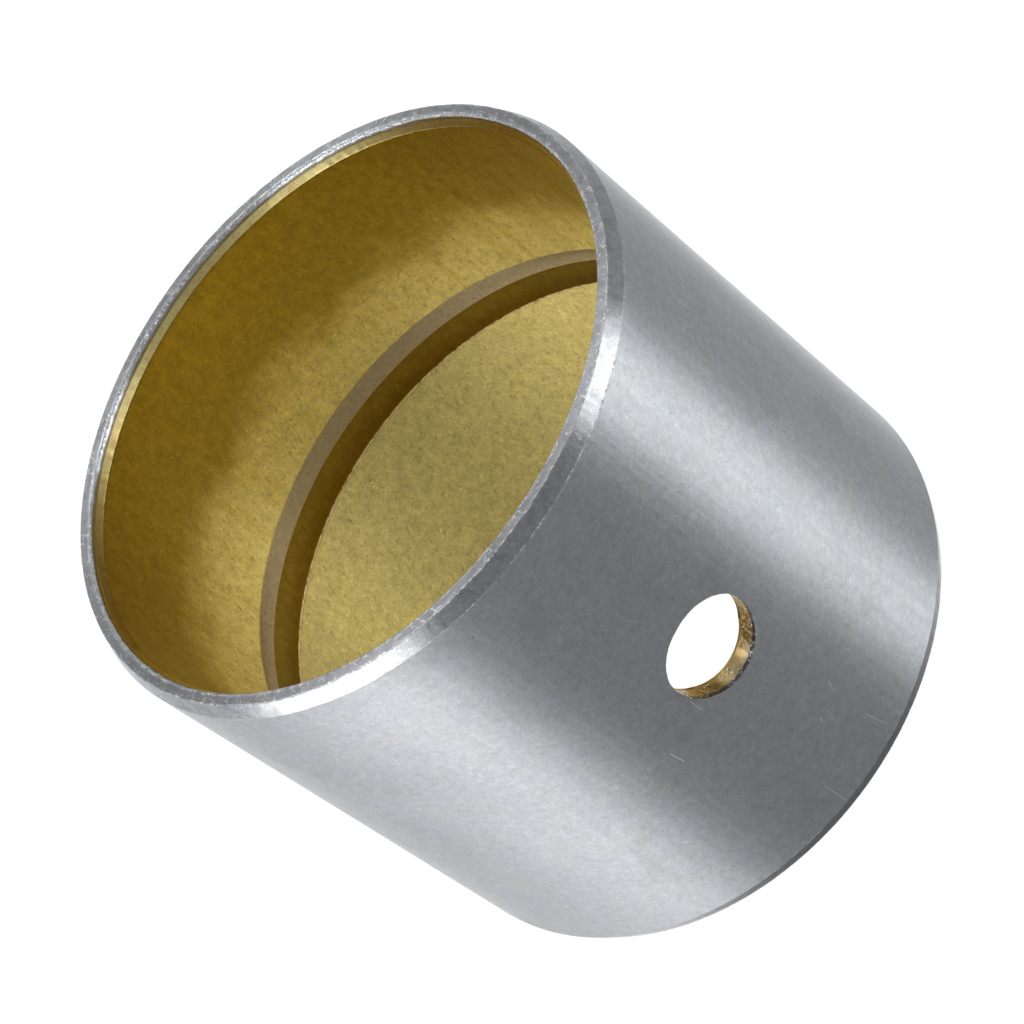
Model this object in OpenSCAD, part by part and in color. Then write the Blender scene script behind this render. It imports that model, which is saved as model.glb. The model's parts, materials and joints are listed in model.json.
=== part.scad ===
// Steel-backed, bronze-lined plain bushing with one radial oil hole and one
// circumferential oil groove. Its axis is +Z, it stands on its lower end at
// z = 0, and the oil hole opens towards -Y. Sizes are in millimetres.

/* [Sleeve] */
// Outside diameter, a press fit in its housing
outer_d = 54; // [53.5:0.5:62]
// Diameter of the bore, a running fit on its pin
bore_d = 50; // [44:0.5:50]
// Length over the two end faces
sleeve_h = 47.5; // [40:0.5:80]
// Thickness of the bronze lining that is bonded inside the steel
lining_t = 0.25; // [0.15:0.05:0.25]

/* [End chamfers] */
// Axial length of the lead-in chamfer outside
outer_chamfer_h = 1.4; // [0.5:0.1:1.8]
// Angle of the outside chamfer, from the axis
outer_chamfer_deg = 22; // [15:1:25]
// Axial length of the chamfer in each mouth of the bore
inner_chamfer_h = 1.3; // [1:0.1:1.6]
// Angle of the bore chamfer, from the axis
inner_chamfer_deg = 19; // [15:1:22]

/* [Oil groove] */
// Height of the groove's middle above the lower end
groove_z = 24.1; // [18:0.1:30]
// Width of the groove along the axis
groove_w = 5.1; // [4:0.1:8]
// Depth of the groove's floor below the bore, which is through the lining
groove_depth = 0.38; // [0.3:0.01:0.6]
// Width of the part that slopes up to the bore again, in the lining
runout_w = 2.8; // [1.5:0.1:3.5]

/* [Oil hole] */
// Diameter of the radial oil hole
hole_d = 8.5; // [4:0.5:12]
// Height of the hole's axis above the lower end
hole_z = 24.3; // [18:0.1:30]

/* [Hidden] */
$fn = 128;
outer_r = outer_d / 2;
bore_r = bore_d / 2;
joint_r = bore_r + lining_t;
// Edges of the end faces, between the two chamfers
rim_r = outer_r - outer_chamfer_h * tan(outer_chamfer_deg);
mouth_r = bore_r + inner_chamfer_h * tan(inner_chamfer_deg);
// Height of the bore chamfer that lies in the steel
joint_chamfer_h = (mouth_r - joint_r) / tan(inner_chamfer_deg);
// The pressed groove has a steep upper wall and a flat floor of bare steel. The
// lining was pressed down with the run-out and thins to nothing at the floor.
groove_top = groove_z + groove_w / 2;
groove_low = groove_z - groove_w / 2;
floor_r = bore_r + groove_depth;
wall_lean = 0.1;
wall_joint_z = groove_top - wall_lean * lining_t / groove_depth;
floor_low = groove_low + runout_w;

// Turned section of the steel, from the lower end face outwards
module steel_section() {
    polygon([
        [mouth_r, 0],
        [rim_r, 0],
        [outer_r, outer_chamfer_h],
        [outer_r, sleeve_h - outer_chamfer_h],
        [rim_r, sleeve_h],
        [mouth_r, sleeve_h],
        [joint_r, sleeve_h - joint_chamfer_h],
        [joint_r, wall_joint_z],
        [floor_r, groove_top - wall_lean],
        [floor_r, floor_low],
        [joint_r, groove_low],
        [joint_r, joint_chamfer_h],
    ]);
}

// The lining above the groove, up to the mouth with the upper chamfer
module upper_lining_section() {
    polygon([
        [joint_r, sleeve_h - joint_chamfer_h],
        [bore_r, sleeve_h - inner_chamfer_h],
        [bore_r, groove_top],
        [joint_r, wall_joint_z],
    ]);
}

// The lining below the groove, down to the lower mouth
module lower_lining_section() {
    polygon([
        [joint_r, joint_chamfer_h],
        [bore_r, inner_chamfer_h],
        [bore_r, groove_low],
        [floor_r, floor_low],
        [joint_r, groove_low],
    ]);
}

// Drill for the oil hole, from the axis out through the front wall
module oil_drill() {
    translate([0, 0, hole_z])
        rotate([90, 0, 0])
            cylinder(d = hole_d, h = outer_d);
}

// Turned steel shell that presses into the housing
module steel_backing() {
    color("silver")
        difference() {
            rotate_extrude() steel_section();
            oil_drill();
        }
}

// Sintered bronze bearing layer, cut into two rings by the groove
module bronze_lining() {
    color("darkgoldenrod")
        difference() {
            rotate_extrude() {
                upper_lining_section();
                lower_lining_section();
            }
            oil_drill();
        }
}

steel_backing();
bronze_lining();
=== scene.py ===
import bmesh
import bpy
import json
import math
import random
from mathutils import Matrix, Vector

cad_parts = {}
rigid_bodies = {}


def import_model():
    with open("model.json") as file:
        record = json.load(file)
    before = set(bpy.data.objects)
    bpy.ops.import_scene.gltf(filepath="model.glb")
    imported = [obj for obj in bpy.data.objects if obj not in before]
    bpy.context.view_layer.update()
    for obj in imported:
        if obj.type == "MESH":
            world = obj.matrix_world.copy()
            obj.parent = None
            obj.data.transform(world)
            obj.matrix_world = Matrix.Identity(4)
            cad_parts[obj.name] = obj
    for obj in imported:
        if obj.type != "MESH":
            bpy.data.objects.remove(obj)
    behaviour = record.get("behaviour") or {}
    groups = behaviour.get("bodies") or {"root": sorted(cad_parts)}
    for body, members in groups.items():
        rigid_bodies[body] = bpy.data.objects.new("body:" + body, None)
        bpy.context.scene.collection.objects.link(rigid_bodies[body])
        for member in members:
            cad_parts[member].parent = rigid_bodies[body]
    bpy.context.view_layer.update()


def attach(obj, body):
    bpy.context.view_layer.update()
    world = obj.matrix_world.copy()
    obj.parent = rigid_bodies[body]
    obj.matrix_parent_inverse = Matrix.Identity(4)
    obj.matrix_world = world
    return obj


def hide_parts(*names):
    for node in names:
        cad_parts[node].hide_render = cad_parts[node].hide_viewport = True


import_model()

# Camera. A long lens looks down into the upper mouth of the bushing and sees
# the oil hole in its front. It is rolled, so that the axis runs from the upper
# left to the lower right. Lengths are in millimetres and angles in degrees.
MM = 0.001
camera_aim = Vector((1.17, 0.65, 24.58))
camera_azimuth = -94.17
camera_elevation = 41.42
camera_distance = 284.8
camera_roll = 53.31
camera_lens = 121.54

around = math.radians(camera_azimuth)
above = math.radians(camera_elevation)
backwards = Vector((
    math.cos(above) * math.cos(around),
    math.cos(above) * math.sin(around),
    math.sin(above),
))
camera_data = bpy.data.cameras.new("camera")
camera_data.lens = camera_lens
camera_data.sensor_width = 36
camera_data.clip_start = 0.01
camera_data.clip_end = 20
camera = bpy.data.objects.new("camera", camera_data)
bpy.context.scene.collection.objects.link(camera)
camera.rotation_mode = "QUATERNION"
camera.location = (camera_aim + camera_distance * backwards) * MM
upright = backwards.to_track_quat("Z", "Y").to_matrix()
rolled = upright @ Matrix.Rotation(math.radians(-camera_roll), 3, "Z")
camera.rotation_quaternion = rolled.to_quaternion()
bpy.context.scene.camera = camera

# Steel shell. The outer layer is a turned steel tube that presses into its
# housing. It is ground outside and faced at both ends, with a lead-in chamfer
# at each corner, and its inside carries the bonded bronze.
outer_r = 26.99
bore_r = 25.0
joint_r = 25.25
sleeve_h = 47.5
outer_chamfer_h = 1.4
outer_chamfer_deg = 22
inner_chamfer_h = 1.3
inner_chamfer_deg = 19
rim_r = outer_r - outer_chamfer_h * math.tan(math.radians(outer_chamfer_deg))
mouth_r = bore_r + inner_chamfer_h * math.tan(math.radians(inner_chamfer_deg))
joint_drop = inner_chamfer_h * (mouth_r - joint_r) / (mouth_r - bore_r)
groove_low = 21.55
groove_top = 26.65
groove_depth = 0.38
wall_lean = 0.1
runout_w = 2.8
floor_r = bore_r + groove_depth
floor_low = groove_low + runout_w
floor_top = groove_top - wall_lean
wall_joint_z = groove_top - wall_lean * (joint_r - bore_r) / groove_depth
hole_r = 4.25
hole_z = 24.3
steps_round = 1024
# how far edges are rounded, how deep nicks may cut into them, and how large a nick is
edge_r = 0.07
mouth_edge_r = 0.21
end_wear = 0.02
corner_wear = 0.013
steel_nick = 0.5


def softened(corners):
    """A closed section from corners (r, z, radius, wear). Each corner with a radius is
    rounded off between two holding points, and its wear is how far nicks may move it."""
    arc_steps = 4
    most_of_side = 0.35
    most_of_hold = 0.1
    hold_wear = 0.3
    points = []
    for i, (r, z, radius, wear) in enumerate(corners):
        here = Vector((r, z))
        if radius == 0:
            points.append((r, z, wear))
            continue
        before = Vector(corners[i - 1][:2]) - here
        after = Vector(corners[(i + 1) % len(corners)][:2]) - here
        reach = min(radius, before.length * most_of_side, after.length * most_of_side)
        hold_before = min(reach, before.length * most_of_hold)
        hold_after = min(reach, after.length * most_of_hold)
        a = here + before.normalized() * reach
        b = here + after.normalized() * reach
        points.append((*(a + before.normalized() * hold_before), wear * hold_wear))
        for step in range(arc_steps + 1):
            t = step / arc_steps
            points.append((*(a * (1 - t) ** 2 + here * (2 * t * (1 - t)) + b * t ** 2), wear))
        points.append((*(b + after.normalized() * hold_after), wear * hold_wear))
    return points


def section_points(name, corners):
    """The points of a section as an object that the turning tree reads."""
    points = softened(corners)
    mesh = bpy.data.meshes.new(name)
    mesh.from_pydata([(r * MM, 0, z * MM) for r, z, wear in points], [], [])
    wear_of = mesh.attributes.new("wear", "FLOAT", "POINT")
    for i, (r, z, wear) in enumerate(points):
        wear_of.data[i].value = wear * MM
    made = bpy.data.objects.new(name, mesh)
    bpy.context.scene.collection.objects.link(made)
    return made


class Tree:
    """A Geometry Nodes tree in the making."""

    def __init__(self, name, inputs):
        self.group = bpy.data.node_groups.new(name, "GeometryNodeTree")
        face = self.group.interface
        face.new_socket("Geometry", in_out="INPUT", socket_type="NodeSocketGeometry")
        self.ids = {}
        for label, kind in inputs.items():
            self.ids[label] = face.new_socket(label, in_out="INPUT", socket_type=kind).identifier
        face.new_socket("Geometry", in_out="OUTPUT", socket_type="NodeSocketGeometry")
        self.given = self.group.nodes.new("NodeGroupInput").outputs
        self.end = self.group.nodes.new("NodeGroupOutput")

    def put(self, socket, value):
        if isinstance(value, bpy.types.NodeSocket):
            self.group.links.new(value, socket)
        elif value is not None:
            socket.default_value = value

    def node(self, kind, settings, values):
        made = self.group.nodes.new(kind)
        for key, value in settings.items():
            setattr(made, key, value)
        for key, value in values.items():
            self.put(made.inputs[key], value)
        return made.outputs

    def math(self, operation, a, b=None):
        return self.node("ShaderNodeMath", {"operation": operation}, {0: a, 1: b})[0]


def turning_tree():
    """Turns a section round the axis, nicks its worn edges and drills the oil hole."""
    tree = Tree("turned_and_drilled", {
        "Steps round": "NodeSocketInt",
        "Section points": "NodeSocketInt",
        "Nick size": "NodeSocketFloat",
        "Sharp angle": "NodeSocketFloat",
        "Drill": "NodeSocketObject",
        "Finish": "NodeSocketMaterial",
    })
    steps = tree.given["Steps round"]
    count = tree.given["Section points"]
    rows = tree.math("ADD", count, 1)
    grid = tree.node("GeometryNodeMeshGrid", {}, {
        "Vertices X": tree.math("ADD", steps, 1), "Vertices Y": rows, "Size X": 1, "Size Y": 1,
    })[0]
    index = tree.node("GeometryNodeInputIndex", {}, {})[0]
    column = tree.math("FLOOR", tree.math("DIVIDE", tree.math("ADD", index, 0.5), rows))
    angle = tree.math("MULTIPLY", tree.math("DIVIDE", column, steps), 2 * math.pi)
    row = tree.math("MODULO", tree.math("MODULO", index, rows), count)
    place = tree.node("GeometryNodeInputPosition", {}, {})[0]
    corner = tree.node("GeometryNodeSampleIndex", {"data_type": "FLOAT_VECTOR", "domain": "POINT"}, {
        "Geometry": tree.given["Geometry"], "Value": place, "Index": row,
    })[0]
    named = tree.node("GeometryNodeInputNamedAttribute", {"data_type": "FLOAT"}, {"Name": "wear"})[0]
    wear = tree.node("GeometryNodeSampleIndex", {"data_type": "FLOAT", "domain": "POINT"}, {
        "Geometry": tree.given["Geometry"], "Value": named, "Index": row,
    })[0]
    parts = tree.node("ShaderNodeSeparateXYZ", {}, {0: corner})
    turned_to = tree.node("ShaderNodeCombineXYZ", {}, {
        "X": tree.math("MULTIPLY", parts[0], tree.math("COSINE", angle)),
        "Y": tree.math("MULTIPLY", parts[0], tree.math("SINE", angle)),
        "Z": parts[2],
    })[0]
    kept = tree.node("GeometryNodeStoreNamedAttribute", {"data_type": "FLOAT", "domain": "POINT"}, {
        "Geometry": grid, "Name": "wear", "Value": wear,
    })[0]
    turned = tree.node("GeometryNodeSetPosition", {}, {"Geometry": kept, "Position": turned_to})[0]
    closed = tree.node("GeometryNodeMergeByDistance", {}, {"Geometry": turned, "Distance": 1e-7})[0]
    size = tree.given["Nick size"]
    nicks = tree.node("ShaderNodeTexNoise", {"noise_dimensions": "3D"}, {
        "Vector": place, "Scale": tree.math("DIVIDE", 1, size), "Detail": 3, "Roughness": 0.65,
    })[0]
    depth = tree.math("MINIMUM", tree.math("MULTIPLY", tree.math("SUBTRACT", nicks, 0.55), 4), 0)
    depth = tree.math("MULTIPLY", depth, named)
    outward = tree.node("GeometryNodeInputNormal", {}, {})[0]
    shift = tree.node("ShaderNodeVectorMath", {"operation": "SCALE"}, {
        "Vector": outward, "Scale": depth,
    })[0]
    nicked = tree.node("GeometryNodeSetPosition", {}, {"Geometry": closed, "Offset": shift})[0]
    drill = tree.node("GeometryNodeObjectInfo", {}, {"Object": tree.given["Drill"]})["Geometry"]
    drilled = tree.node("GeometryNodeMeshBoolean", {"operation": "DIFFERENCE", "solver": "EXACT"}, {
        "Mesh 1": nicked, "Mesh 2": drill,
    })[0]
    smooth = tree.node("GeometryNodeSetShadeSmooth", {"domain": "FACE"}, {"Geometry": drilled})[0]
    bend = tree.node("GeometryNodeInputMeshEdgeAngle", {}, {})[0]
    sharp = tree.node("FunctionNodeCompare", {"data_type": "FLOAT", "operation": "GREATER_THAN"}, {
        0: bend, 1: tree.given["Sharp angle"],
    })[0]
    edged = tree.node("GeometryNodeSetShadeSmooth", {"domain": "EDGE"}, {
        "Geometry": smooth, "Selection": sharp, "Shade Smooth": False,
    })[0]
    real = tree.node("GeometryNodeRealizeInstances", {}, {"Geometry": edged})[0]
    finish = tree.node("GeometryNodeSetMaterial", {}, {
        "Geometry": real, "Material": tree.given["Finish"],
    })[0]
    tree.put(tree.end.inputs[0], finish)
    return tree


def oil_drill():
    """The drilled hole as a solid to cut away: straight, with a nicked break at the outside."""
    chance = random.Random(5)
    steps = 160
    waves = 16
    rough = [chance.uniform(-1, 1) for _ in range(steps)]
    rough = [(rough[i - 1] + 2 * rough[i] + rough[(i + 1) % steps]) / 4 for i in range(steps)]
    slow = [chance.uniform(-1, 1) for _ in range(waves)]

    def nick(i):
        """How far the rim is broken out at one step: fine chips on slow waves."""
        t = i / steps * waves
        k = int(t)
        a, b = slow[k % waves], slow[(k + 1) % waves]
        return 0.5 * rough[i] + 0.8 * (a + (b - a) * (t - k))

    # height above the outside surface, how far the rim opens, how much nicks widen it
    rings = [
        (-8.0, 0, 0),
        (-1.62, 0, 0),
        (-0.4, 0, 0),
        (-0.3, 0.01, 0.02),
        (-0.12, 0.03, 0.04),
        (-0.04, 0.05, 0.05),
        (0.02, 0.08, 0.06),
        (1.5, 0.4, 0.06),
    ]
    points = []
    for height, open_by, nick_by in rings:
        for i in range(steps):
            turn = 2 * math.pi * i / steps
            r = hole_r + open_by + nick_by * nick(i)
            x, z = r * math.cos(turn), r * math.sin(turn)
            y = -(math.sqrt(outer_r ** 2 - x ** 2) + height)
            points.append((x * MM, y * MM, (hole_z + z) * MM))
    faces = []
    for ring in range(len(rings) - 1):
        here, there = ring * steps, (ring + 1) * steps
        for i in range(steps):
            j = (i + 1) % steps
            faces.append((here + i, here + j, there + j, there + i))
    faces.append(tuple(range(steps))[::-1])
    faces.append(tuple((len(rings) - 1) * steps + i for i in range(steps)))
    mesh = bpy.data.meshes.new("oil_drill")
    mesh.from_pydata(points, [], faces)
    mesh.validate()
    work = bmesh.new()
    work.from_mesh(mesh)
    bmesh.ops.recalc_face_normals(work, faces=work.faces)
    work.to_mesh(mesh)
    work.free()
    made = bpy.data.objects.new("oil_drill", mesh)
    bpy.context.scene.collection.objects.link(made)
    return made


def turned(name, corners, tree, drill, finish, nick_size):
    """Runs the turning tree on a section and keeps its result as a plain mesh."""
    section = section_points(name + "_section", corners)
    maker = section.modifiers.new("turn", "NODES")
    maker.node_group = tree.group
    values = {
        "Steps round": steps_round,
        "Section points": len(section.data.vertices),
        "Nick size": nick_size * MM,
        "Sharp angle": math.radians(35),
        "Drill": drill,
        "Finish": finish,
    }
    for label, value in values.items():
        maker[tree.ids[label]] = value
    section.update_tag()
    bpy.context.view_layer.update()
    found = section.evaluated_get(bpy.context.evaluated_depsgraph_get())
    mesh = bpy.data.meshes.new_from_object(found)
    mesh.name = name
    piece = bpy.data.objects.new(name, mesh)
    bpy.context.scene.collection.objects.link(piece)
    bpy.data.objects.remove(section)
    return piece


class Field:
    """A socket of a material on which sums can be written."""

    def __init__(self, paint, socket):
        self.paint = paint
        self.socket = socket

    def math(self, operation, a, b=None):
        return self.paint.node("ShaderNodeMath", {"operation": operation}, {0: a, 1: b})[0]

    def __add__(self, other):
        return self.math("ADD", self, other)

    __radd__ = __add__

    def __sub__(self, other):
        return self.math("SUBTRACT", self, other)

    def __rsub__(self, other):
        return self.math("SUBTRACT", other, self)

    def __mul__(self, other):
        return self.math("MULTIPLY", self, other)

    __rmul__ = __mul__

    def __truediv__(self, other):
        return self.math("DIVIDE", self, other)

    def root(self):
        return self.math("SQRT", self)

    def size(self):
        return self.math("ABSOLUTE", self)

    def ramp(self, low, high, to_low=0, to_high=1):
        """Smoothly to_low below low and to_high above high."""
        return self.paint.node("ShaderNodeMapRange", {"interpolation_type": "SMOOTHSTEP"}, {
            "Value": self, "From Min": low, "From Max": high, "To Min": to_low, "To Max": to_high,
        })[0]

    def band(self, low, full_from, full_to, high):
        """1 from full_from to full_to, and smoothly 0 below low and above high."""
        return self.ramp(low, full_from) * self.ramp(high, full_to)


class Paint:
    """A material or world in the making."""

    def __init__(self, owner):
        owner.use_nodes = True
        self.owner = owner
        self.tree = owner.node_tree
        self.tree.nodes.clear()

    def node(self, kind, settings, values):
        made = self.tree.nodes.new(kind)
        for key, value in settings.items():
            setattr(made, key, value)
        for key, value in values.items():
            socket = made.inputs[key]
            if isinstance(value, Field):
                self.tree.links.new(value.socket, socket)
            elif value is not None:
                socket.default_value = value
        fields = [Field(self, socket) for socket in made.outputs if socket.enabled]
        return {**dict(enumerate(fields)), **{field.socket.name: field for field in fields}}

    def mix(self, share, a, b):
        """Colour a, turning into b by share."""
        return self.node("ShaderNodeMix", {"data_type": "RGBA"}, {0: share, 6: a, 7: b})[0]

    def scale(self, colour, tone):
        """Colour times tone."""
        return self.node("ShaderNodeVectorMath", {"operation": "SCALE"}, {0: colour, "Scale": tone})[0]

    def spots(self, scale, stretch=(1, 1, 1), detail=2, roughness=0.5, where=None, shift=0):
        """Noise between 0 and 1, with scale in spots per millimetre and its own shift."""
        if where is None:
            where = self.node("ShaderNodeTexCoord", {}, {})["Object"]
        laid = self.node("ShaderNodeMapping", {"vector_type": "POINT"}, {
            "Vector": where,
            "Scale": tuple(scale * s / MM for s in stretch),
            "Location": (shift, shift, shift),
        })[0]
        return self.node("ShaderNodeTexNoise", {"noise_dimensions": "3D"}, {
            "Vector": laid, "Scale": 1, "Detail": detail, "Roughness": roughness,
        })[0]

    def close(self, shader, kind="ShaderNodeOutputMaterial"):
        """Ends the tree with its output."""
        self.node(kind, {}, {"Surface": shader})


def near_ends(height, outer, inner):
    """1 within inner of either end face, and smoothly 0 beyond outer, in millimetres."""
    upper = height.ramp((sleeve_h - outer) * MM, (sleeve_h - inner) * MM)
    return upper + height.ramp(outer * MM, inner * MM)


def worn_edges(paint):
    """1 on edges worn enough for all their bright chips, and smoothly 0 on those hardly worn."""
    wear = paint.node("ShaderNodeAttribute", {"attribute_name": "wear"}, {})["Fac"]
    return wear.ramp(0.008 * MM, 0.02 * MM)


# colours of the clean steel, and of the marks on it
cool_steel = (0.528, 0.553, 0.592, 1)
plain_steel = (0.542, 0.552, 0.568, 1)
cut_steel = (0.86, 0.93, 1.0, 1)
smudge_colour = (0.40, 0.38, 0.36, 1)
grime_colour = (0.27, 0.27, 0.27, 1)
nick_colour = (0.93, 0.95, 0.98, 1)
scratch_colour = (0.98, 0.99, 1, 1)
chip_colour = (0.93, 0.94, 0.95, 1)
# colours of the groove's floor, and of the painted highlight along its two edges
stained_floor = (0.69, 0.585, 0.385)
groove_edge_highlight = (0.80, 0.58, 0.36, 1)
# colours of the hole's wall: smeared with bronze, greyer outwards, then the torn rim
smeared_bronze = (0.58, 0.43, 0.19, 1)
smeared_pit = (0.26, 0.18, 0.08, 1)
smeared_grey = (0.42, 0.38, 0.31, 1)
torn_colour = (0.11, 0.11, 0.105, 1)
spark_colour = (0.8, 0.8, 0.8, 1)
# radius where the bore chamfer's bright cut ends
cut_r = 25.5
# how far below the outside the torn rim turns into the smeared wall
torn_from = 0.29
torn_to = 0.41
# a few scratches on the outside: azimuth, height, length, lean from level, half width
scratches = [
    (-108.1, 19.5, 1.9, -84, 0.06),
    (-82.9, 4.0, 2.9, -82, 0.03),
    (-97.3, 3.1, 3.3, -88, 0.03),
    (-83.1, 10.7, 1.2, -104, 0.04),
    (-99.2, 21.9, 1.8, -91, 0.03),
    (-88.7, 9.6, 0.7, -123, 0.05),
    (-47.0, 30.5, 1.8, 72, 0.03),
    (-128.0, 21.0, 2.0, -80, 0.03),
    (-140.0, 36.0, 1.6, 71, 0.03),
    (12.0, 28.0, 2.4, -72, 0.04),
    (95.0, 17.0, 2.0, 76, 0.04),
]


def steel_finish():
    """Satin ground steel: sandy grain, pin specks, light scratches, worn edges. The oil hole's
    wall is smeared with bronze under a torn dark rim, and the groove's floor is stained."""
    paint = Paint(bpy.data.materials.new("ground_steel"))
    where = paint.node("ShaderNodeTexCoord", {}, {})["Object"]
    axes = paint.node("ShaderNodeSeparateXYZ", {}, {0: where})
    across, depth, height = axes["X"], axes["Y"], axes["Z"]
    radius = (across * across + depth * depth).root()

    # where the groove, the hole, the ends, the end faces and the bore chamfers are
    in_groove = height.band(20 * MM, 21 * MM, 27 * MM, 28 * MM) * radius.ramp(25.6 * MM, 25.5 * MM)
    drop = height - hole_z * MM
    from_hole = (across * across + drop * drop).root()
    in_hole = from_hole.ramp((hole_r + 0.25) * MM, (hole_r + 0.15) * MM) * depth.ramp(1 * MM, 0)
    in_hole = in_hole * radius.ramp((outer_r - 0.004) * MM, (outer_r - 0.015) * MM)
    below_rim = radius.ramp((outer_r - torn_from) * MM, (outer_r - torn_to) * MM)
    at_end = near_ends(height, 1.6, 1.3) * radius.ramp((cut_r - 0.05) * MM, cut_r * MM)
    faced = near_ends(height, 0.2, 0.05)
    cut = near_ends(height, 0.7, 0.6) * radius.ramp(cut_r * MM, (cut_r - 0.04) * MM)

    def strokes(axis, turn, scale, stretch, shift):
        """Noise stretched along a line that is turned about one axis."""
        laid = paint.node("ShaderNodeVectorRotate", {"rotation_type": axis}, {
            "Vector": where, "Angle": turn,
        })[0]
        return paint.spots(scale, stretch=stretch, detail=1, where=laid, shift=shift)

    # grain, specks, hair lines, the rings that facing leaves, and nicks in three directions
    cloud = paint.spots(0.09, detail=3)
    grain = paint.spots(5.5, detail=3, roughness=0.75)
    section = paint.node("ShaderNodeCombineXYZ", {}, {"X": radius, "Z": height})[0]
    rings = paint.spots(7, detail=2, where=section)
    mottle = paint.spots(1.5, detail=3, roughness=0.65, shift=41)
    dark_pins = paint.spots(4.4, detail=0, shift=7).ramp(0.73, 0.8)
    light_pins = paint.spots(4.6, detail=0, shift=19).ramp(0.72, 0.79)
    drag = paint.spots(2.4, stretch=(1, 1, 0.05), detail=1, shift=31).ramp(0.66, 0.74)
    hairs = strokes("Y_AXIS", 0.65, 3.4, (0.09, 1, 1), 61).ramp(0.67, 0.75)
    hairs = hairs + strokes("Y_AXIS", -0.95, 3.4, (0.07, 1, 1), 67).ramp(0.68, 0.76)
    nicks = strokes("Z_AXIS", 0.4, 3.4, (0.34, 1.4, 1), 71).ramp(0.66, 0.73)
    nicks = nicks + strokes("Z_AXIS", 1.5, 3.4, (0.34, 1.4, 1), 73).ramp(0.66, 0.73)
    nicks = nicks + strokes("Z_AXIS", 2.5, 3.4, (0.34, 1.4, 1), 79).ramp(0.67, 0.74)
    nicks = nicks * at_end * (0.45 + 0.55 * faced)

    # the clean metal, then smudges, grime and nicks on it
    tone = 0.9 + 0.18 * cloud + 0.5 * (grain - 0.5) + 0.45 * (mottle - 0.5)
    tone = tone + (0.06 + 0.2 * at_end) * (rings - 0.5)
    tone = tone * (1 - 0.18 * dark_pins) + 0.15 * light_pins + 0.06 * drag + 0.1 * hairs
    patches = paint.spots(0.35, detail=3, shift=53).ramp(0.3, 0.7)
    colour = paint.scale(paint.mix(patches, cool_steel, plain_steel), tone)
    smudge = paint.spots(0.16, detail=4, roughness=0.6).ramp(0.56, 0.72)
    colour = paint.mix(smudge * 0.35, colour, smudge_colour)
    grime = paint.spots(0.9, detail=3, roughness=0.7, shift=83).ramp(0.45, 0.66) * at_end
    colour = paint.mix(grime * 0.35, colour, grime_colour)
    colour = paint.mix(nicks * 0.75, colour, nick_colour)

    # single scratches, each laid along a line on the unrolled outside
    turn = paint.node("ShaderNodeMath", {"operation": "ARCTAN2"}, {0: depth, 1: across})[0]
    scored = 0
    for azimuth, z, length, lean, width in scratches:
        run = (turn - math.radians(azimuth)) * outer_r
        rise = (height - z * MM) / MM
        tilt = math.radians(lean)
        along = (run * math.cos(tilt) + rise * math.sin(tilt)).size()
        aside = (rise * math.cos(tilt) - run * math.sin(tilt)).size()
        scored = scored + aside.ramp(width, width * 0.3) * along.ramp(length / 2, length / 2 - 0.2)
    scored = scored * radius.ramp(26.9 * MM, 26.95 * MM)
    colour = paint.mix(scored, colour, scratch_colour)

    # the groove's stained floor, with a painted highlight along each edge
    floor_tone = 0.66 + 0.7 * paint.spots(2.2, detail=4, roughness=0.7) - 0.3 * dark_pins
    floor_edge_highlight = height.ramp((floor_low + 0.15) * MM, (floor_low + 0.07) * MM)
    floor_edge_highlight = floor_edge_highlight + height.ramp((floor_top - 0.13) * MM, (floor_top - 0.05) * MM)
    floor_colour = paint.mix(floor_edge_highlight * 0.6, paint.scale(stained_floor, floor_tone), groove_edge_highlight)
    colour = paint.mix(in_groove, colour, floor_colour)

    # the hole's wall
    pits = paint.spots(1.9, detail=2, roughness=0.6, shift=3).ramp(0.55, 0.68)
    smeared = paint.mix(pits * 0.7, smeared_bronze, smeared_pit)
    smeared = paint.mix(radius.ramp(25.9 * MM, 26.6 * MM) * 0.5, smeared, smeared_grey)
    sparks = paint.spots(4.5, detail=1, shift=11).ramp(0.62, 0.7)
    torn = paint.mix(sparks, torn_colour, spark_colour)
    colour = paint.mix(in_hole, colour, paint.mix(below_rim, torn, smeared))

    # bright chips along the worn edges, and the bright cut of the bore chamfers
    worn = worn_edges(paint)
    chips = paint.spots(2.6, detail=4, roughness=0.75, shift=5).ramp(0.48, 0.62)
    chips = chips * paint.spots(0.5, detail=2, shift=89).ramp(0.38, 0.58, 0.25, 1)
    colour = paint.mix(worn * chips, colour, chip_colour)
    colour = paint.mix(cut * 0.85, colour, cut_steel)

    rough = 0.30 + 0.12 * grain + 0.06 * cloud - 0.16 * scored + 0.2 * in_groove - 0.18 * cut
    rough = rough - 0.07 * at_end * (1 - faced)
    relief = 1.1 * grain + 0.7 * mottle + (0.35 + 0.7 * at_end) * rings
    relief = relief - 0.5 * dark_pins + 0.4 * light_pins + 0.3 * hairs
    relief = (relief - 0.9 * nicks) * (1 - 0.8 * cut)
    bump = paint.node("ShaderNodeBump", {}, {
        "Strength": 0.4, "Distance": 0.01 * MM, "Height": relief,
    })[0]
    knocks = (worn + in_hole * (1 - below_rim)) * chips + 0.02 * in_hole * pits
    knocked = paint.node("ShaderNodeBump", {}, {
        "Strength": 0.9, "Distance": 0.06 * MM, "Height": knocks, "Normal": bump,
    })[0]
    shader = paint.node("ShaderNodeBsdfPrincipled", {}, {
        "Base Color": colour, "Roughness": rough, "Metallic": 1, "Anisotropic": 0.7,
        "Anisotropic Rotation": 0.25, "Normal": knocked,
    })[0]
    paint.close(shader)
    return paint.owner


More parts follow.
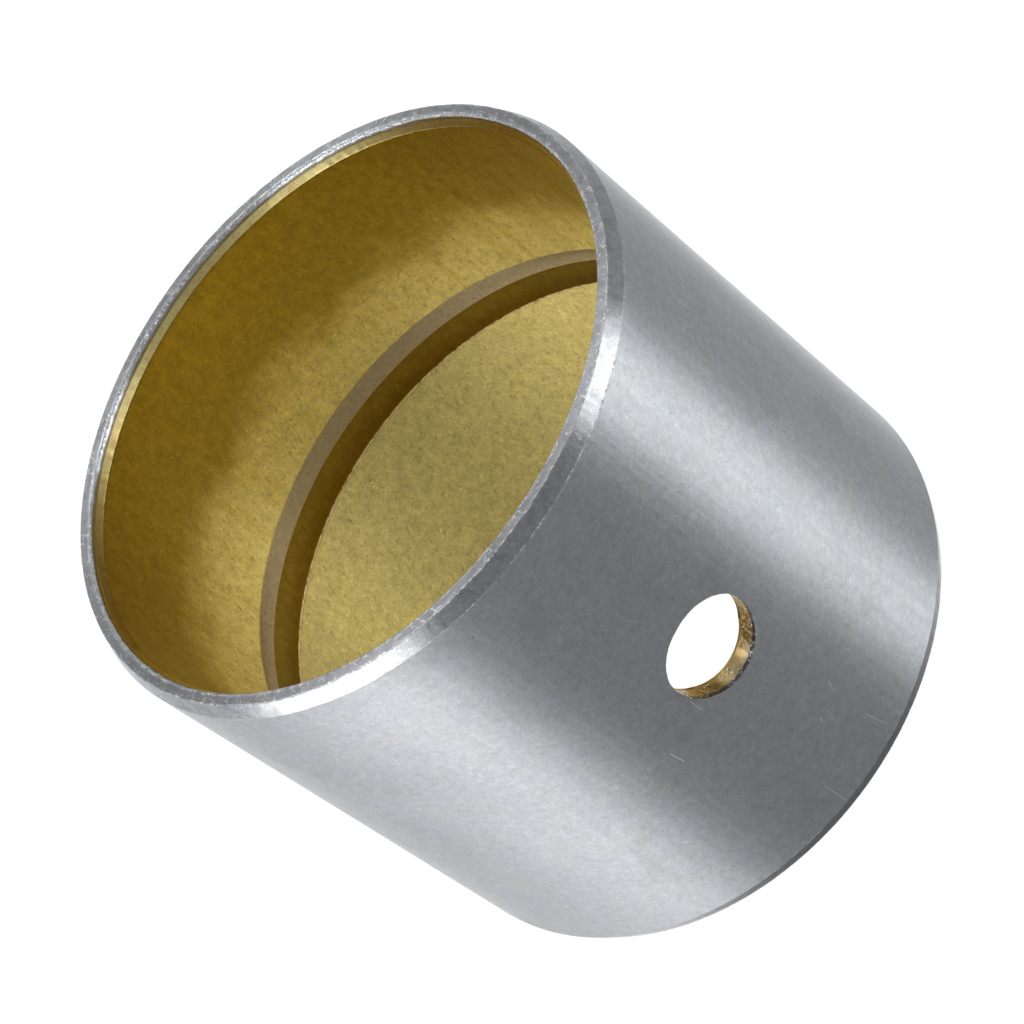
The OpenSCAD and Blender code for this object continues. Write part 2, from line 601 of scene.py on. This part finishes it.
tree = turning_tree()
drill = oil_drill()
steel_corners = [
    (mouth_r, 0, mouth_edge_r, end_wear),
    (rim_r, 0, edge_r, end_wear),
    (outer_r, outer_chamfer_h, edge_r, corner_wear),
    (outer_r, sleeve_h - outer_chamfer_h, edge_r, corner_wear),
    (rim_r, sleeve_h, edge_r, end_wear),
    (mouth_r, sleeve_h, mouth_edge_r, end_wear),
    (joint_r, sleeve_h - joint_drop, 0, 0),
    (joint_r, wall_joint_z, 0, 0),
    (floor_r, floor_top, 0, 0),
    (floor_r, floor_low, 0, 0),
    (joint_r, groove_low, 0, 0),
    (joint_r, joint_drop, 0, 0),
]
steel_shell = turned("steel_shell", steel_corners, tree, drill, steel_finish(), steel_nick)
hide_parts("steel_backing")
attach(steel_shell, "root")

# Bronze lining. The bearing layer is sintered bronze, bonded inside the steel
# and honed after pressing. The oil groove is pressed through it, so it is two
# rings, and the metal pushed aside stands as a ragged lip below the groove.
lip_h = 0.045
lip_z = groove_low - 0.05
crest_r = bore_r - lip_h
runout_start_deg = 8
# how deep nicks may cut into the groove's upper edge, the bore's edges and the lip
groove_wear = 0.02
mouth_wear = 0.011
lip_wear = 0.014
lining_nick = 0.35
# colours of the bearing layer: below the groove, above it painted lighter, and darkened near the mouth by
# painted shade
lower_bronze = (0.76, 0.61, 0.20, 1)
upper_bronze_painted_lighter = (0.90, 0.72, 0.23, 1)
mouth_shade_bronze = (0.475, 0.34, 0.052)
cut_bronze = (1.0, 0.765, 0.36)
runout_shade_bronze = (0.27, 0.18, 0.028, 1)
runout_deep_shade_bronze = (0.18, 0.105, 0.009, 1)
lip_highlight_colour = (1.0, 0.77, 0.38, 1)
pore_colour = (0.27, 0.22, 0.08, 1)
bronze_chip = (0.95, 0.80, 0.50, 1)
# heights between which the painted shade near the mouth sets in, and how far clouds shift it
mouth_shade_from = 30.5
mouth_shade_full = 37.5
mouth_shade_drift = 12


def bronze_finish():
    """Honed sintered bronze: open pores dragged along the hone marks, darkened by painted shade
    towards the upper mouth, and painted shade, darker and redder, where the groove runs out."""
    paint = Paint(bpy.data.materials.new("honed_bronze"))
    where = paint.node("ShaderNodeTexCoord", {}, {})["Object"]
    axes = paint.node("ShaderNodeSeparateXYZ", {}, {0: where})
    height = axes["Z"]
    radius = (axes["X"] * axes["X"] + axes["Y"] * axes["Y"]).root()

    def honed(lean):
        """The object's coordinates, twisted so that lines along z lean round the bore."""
        return paint.node("ShaderNodeVectorRotate", {"rotation_type": "Z_AXIS"}, {
            "Vector": where, "Angle": height * (lean / MM),
        })[0]

    # hone marks, pores, pins, bright bits and mottle
    steep = honed(0.011)
    marks = 0.65 * paint.spots(3.4, stretch=(1, 1, 0.08), detail=2, where=steep)
    marks = marks + 0.35 * paint.spots(3.4, stretch=(1, 1, 0.08), detail=2, where=honed(-0.02))
    pores = paint.spots(3.2, stretch=(1, 1, 0.4), detail=1, where=steep).ramp(0.61, 0.75)
    pins = paint.spots(4.4, detail=0, shift=9).ramp(0.68, 0.77)
    bits = paint.spots(4.8, detail=0, shift=23).ramp(0.72, 0.78)
    cloud = paint.spots(0.14, detail=4, roughness=0.6)
    grain = paint.spots(5.5, detail=3, roughness=0.75)
    mottle = paint.spots(1.3, stretch=(1, 1, 0.7), detail=5, roughness=0.8, shift=13)
    spotted = paint.spots(1.9, stretch=(1, 1, 0.8), detail=3, roughness=0.75, shift=29)
    spotted = spotted.ramp(0.66, 0.76)
    tone = 0.86 + 0.24 * cloud + 0.07 * (marks - 0.5) + 0.45 * (grain - 0.5)
    tone = tone + 0.32 * bits + 1.15 * (mottle - 0.5)

    # the bearing surface, painted lighter above the groove and darkened towards the mouth by painted
    # shade, and the bright cut of the chamfers
    # painted light: the bore above the groove gets a lighter copy of the bronze colour
    above = height.ramp(22 * MM, 26 * MM)
    colour = paint.scale(paint.mix(above, lower_bronze, upper_bronze_painted_lighter), tone)
    mouth_shade = height + mouth_shade_drift * MM * (cloud - 0.5)
    mouth_shade = mouth_shade.ramp(mouth_shade_from * MM, mouth_shade_full * MM)
    colour = paint.mix(mouth_shade, colour, paint.scale(mouth_shade_bronze, tone))
    chamfered = near_ends(height, 1.35, 1.3) * radius.ramp(25.02 * MM, 25.05 * MM)
    colour = paint.mix(chamfered, colour, paint.scale(cut_bronze, tone + 0.14))

    # the slope that was pressed down, darkened by painted shade towards the lip, and the lip below it with
    # a painted highlight
    in_runout = height.band(
        lip_z * MM, (lip_z + 0.04) * MM, (floor_low + 0.15) * MM, (floor_low + 0.25) * MM,
    )
    runout_shade = paint.mix(height.ramp(23.8 * MM, 21.7 * MM), runout_shade_bronze, runout_deep_shade_bronze)
    colour = paint.mix(in_runout, colour, paint.scale(runout_shade, tone))
    on_lip = height.band(
        (lip_z - 0.14) * MM, (lip_z - 0.06) * MM, (lip_z + 0.04) * MM, (lip_z + 0.14) * MM,
    )
    # the lip's bright line is a painted highlight, broken up by ragged noise
    ragged = paint.spots(2.2, detail=3, roughness=0.7, shift=37).ramp(0.34, 0.56)
    colour = paint.mix(on_lip * ragged, colour, lip_highlight_colour)

    # open pores, and bright chips along the worn edges
    open_pores = (pores * 0.4 + pins * 0.34 + spotted * 0.6) * (1 - 0.7 * in_runout)
    open_pores = open_pores * (1 - 0.3 * mouth_shade)
    colour = paint.mix(open_pores, colour, pore_colour)
    worn = worn_edges(paint)
    chips = paint.spots(3.6, detail=2, roughness=0.7, shift=5).ramp(0.5, 0.62)
    colour = paint.mix(worn * chips * 0.7, colour, bronze_chip)

    rough = 0.36 + 0.08 * grain + 0.04 * cloud - 0.12 * chamfered
    relief = 0.1 * marks + 0.8 * grain + 1.2 * mottle - 0.8 * pores - 0.5 * pins - 0.6 * spotted
    relief = relief * (1 - 0.92 * chamfered)
    bump = paint.node("ShaderNodeBump", {}, {
        "Strength": 0.4, "Distance": 0.01 * MM, "Height": relief,
    })[0]
    knocked = paint.node("ShaderNodeBump", {}, {
        "Strength": 0.8, "Distance": 0.05 * MM, "Height": worn * chips, "Normal": bump,
    })[0]
    shader = paint.node("ShaderNodeBsdfPrincipled", {}, {
        "Base Color": colour, "Roughness": rough, "Metallic": 1, "Anisotropic": 0.82,
        "Anisotropic Rotation": 0.0, "Normal": knocked,
    })[0]
    paint.close(shader)
    return paint.owner


bronze = bronze_finish()
upper_corners = [
    (joint_r, sleeve_h - joint_drop, 0, 0),
    (joint_r, wall_joint_z, 0, 0),
    (bore_r, groove_top, edge_r, groove_wear),
    (bore_r, sleeve_h - inner_chamfer_h, edge_r, mouth_wear),
]
# the run-out grows steeper from the groove's floor up to the crest of the lip
runout_steps = 12
runout_rise = floor_low - lip_z
runout_start = math.tan(math.radians(runout_start_deg))
runout_bend = (groove_depth + lip_h - runout_start * runout_rise) / runout_rise ** 2
runout = []
for step in range(runout_steps, -1, -1):
    down = runout_rise * step / runout_steps
    r = floor_r - runout_start * down - runout_bend * down ** 2
    runout.append((r, floor_low - down, 0, lip_wear if step == runout_steps else 0))
lower_corners = [
    (joint_r, joint_drop, 0, 0),
    (bore_r, inner_chamfer_h, edge_r, mouth_wear),
    (bore_r, lip_z - 0.32, 0, 0),
    (bore_r - 0.015, lip_z - 0.2, 0, groove_wear),
    (crest_r + 0.008, lip_z - 0.06, 0, lip_wear),
    (crest_r, lip_z - 0.02, 0, lip_wear),
    *runout,
    (joint_r, groove_low, 0, 0),
]
upper_ring = turned("upper_lining", upper_corners, tree, drill, bronze, lining_nick)
lower_ring = turned("lower_lining", lower_corners, tree, drill, bronze, lining_nick)
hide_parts("bronze_lining")
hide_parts("bronze_lining")
for ring in (upper_ring, lower_ring):
    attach(ring, "root")
bpy.data.objects.remove(drill)

# Studio. The bushing stands on a pale floor that keeps its soft shadow, and the
# camera sees plain white behind everything. The metal sees a grey tent instead,
# with soft panels all round and also below, where the floor does not hide them.


def floor_finish():
    """Pale floor: plain white to the camera where light reaches it, greyer in the shadow."""
    paint = Paint(bpy.data.materials.new("pale_floor"))
    rays = paint.node("ShaderNodeLightPath", {}, {})
    seen = (rays["Is Camera Ray"] + rays["Is Glossy Ray"] + rays["Is Transmission Ray"]).ramp(0, 1)
    plain = paint.node("ShaderNodeBsdfDiffuse", {}, {"Color": (0.8, 0.8, 0.8, 1)})[0]
    dim = paint.node("ShaderNodeBsdfDiffuse", {}, {"Color": (0.2, 0.2, 0.2, 1)})[0]
    glow = paint.node("ShaderNodeEmission", {}, {"Color": (1, 1, 1, 1), "Strength": 0.94})[0]
    white = paint.node("ShaderNodeAddShader", {}, {0: dim, 1: glow})[0]
    both = paint.node("ShaderNodeMixShader", {}, {0: seen, 1: plain, 2: white})[0]
    paint.close(both)
    return paint.owner


half_floor = 3.0
floor_mesh = bpy.data.meshes.new("floor")
floor_corners = [(-1, -1), (1, -1), (1, 1), (-1, 1)]
floor_mesh.from_pydata([(x * half_floor, y * half_floor, 0) for x, y in floor_corners], [], [(0, 1, 2, 3)])
floor_mesh.materials.append(floor_finish())
floor = bpy.data.objects.new("floor", floor_mesh)
bpy.context.scene.collection.objects.link(floor)
floor.visible_glossy = False

# each panel: azimuth low down and higher up, half width, soft edge, brightness low down and
# higher up, and the sines of the two elevations between which it changes. A negative one
# dulls the panel before it in this list, from near the horizon up
tent_panels = [
    (-179, -175, 18, 25, 0.85, 0.0, -0.72, -0.6),
    (-147, -152, 14, 20, 0.1, 0.6, -0.69, -0.5),
    (-166, -166, 25, 16, 0.0, 3.2, -0.46, -0.26),
    (-166, -166, 25, 16, 0.0, -1.4, -0.16, 0.02),
    (-30, -40, 12.5, 14, 0.78, 3.0, -0.6, -0.25),
    (-40, -40, 12.5, 14, 0.0, -0.9, -0.14, 0.02),
    (12, 12, 26, 20, 0.1, 0.1, -0.6, -0.15),
    (124, 124, 38, 20, 0.45, 0.42, -0.66, -0.5),
    (80, 80, 34, 40, 0.62, 0.4, -0.66, -0.5),
    (69, 69, 6, 8, 2.0, 0.1, -0.66, -0.5),
]
# each patch overhead: azimuth, elevation, half width, soft edge, brightness
overhead_patches = [
    (150, 62, 8, 6, 14),
    (22, 62, 8, 6, 10),
]
# the tent itself: its brightness straight below, then the sines of two elevations and the
# brightness that it takes on between them
tent_start = 0.14
tent_tones = [
    (-0.95, -0.85, 0.35),
    (-0.6, -0.15, 0.22),
    (0.1, 0.5, 0.24),
    (0.74, 0.97, 0.2),
]
tent = Paint(bpy.data.worlds.new("studio"))
bpy.context.scene.world = tent.owner
towards = tent.node("ShaderNodeTexCoord", {}, {})["Generated"]
flat = tent.node("ShaderNodeSeparateXYZ", {}, {0: towards})
level = (flat["X"] * flat["X"] + flat["Y"] * flat["Y"]).root() + 0.0001
light = tone = tent_start
for start, end, next_tone in tent_tones:
    light = light + flat["Z"].ramp(start, end, 0, next_tone - tone)
    tone = next_tone
# the panels fade out straight below, and between about 9 and 27 degrees above the horizon
shown = flat["Z"].band(-0.95, -0.8, 0.15, 0.45)
for azimuth_low, azimuth_high, half, soft, low, high, start, end in tent_panels:
    rise = flat["Z"].ramp(start, end)
    here, there = math.radians(azimuth_low), math.radians(azimuth_high)
    side_x = math.cos(here) + (math.cos(there) - math.cos(here)) * rise
    side_y = math.sin(here) + (math.sin(there) - math.sin(here)) * rise
    facing = (flat["X"] * side_x + flat["Y"] * side_y) / level
    inner = math.cos(math.radians(max(half - soft / 2, 0)))
    panel = facing.ramp(math.cos(math.radians(half + soft / 2)), inner)
    light = light + panel * shown * (low + (high - low) * rise)
for azimuth, elevation, half, soft, bright in overhead_patches:
    a, e = math.radians(azimuth), math.radians(elevation)
    middle = (math.cos(e) * math.cos(a), math.cos(e) * math.sin(a), math.sin(e))
    facing = tent.node("ShaderNodeVectorMath", {"operation": "DOT_PRODUCT"}, {
        0: towards, 1: middle,
    })["Value"]
    outer, inner = math.cos(math.radians(half + soft / 2)), math.cos(math.radians(half - soft / 2))
    light = light + bright * facing.ramp(outer, inner)
rays = tent.node("ShaderNodeLightPath", {}, {})
open_white = (rays["Is Camera Ray"] + rays["Is Transmission Ray"]).ramp(0, 1)
strength = open_white + (1 - open_white) * light
sky = tent.node("ShaderNodeBackground", {}, {"Color": (1, 1, 1, 1), "Strength": strength})[0]
tent.close(sky, "ShaderNodeOutputWorld")

lamp_place = Vector((0.25, 0.35, 0.8))
lamp_data = bpy.data.lights.new("overhead_lamp", "AREA")
lamp_data.shape = "DISK"
lamp_data.size = 0.8
lamp_data.energy = 0.5
lamp = bpy.data.objects.new("overhead_lamp", lamp_data)
lamp.location = lamp_place
lamp.rotation_mode = "QUATERNION"
lamp.rotation_quaternion = lamp_place.to_track_quat("Z", "Y")
bpy.context.scene.collection.objects.link(lamp)

bpy.context.scene.view_settings.view_transform = "Standard"
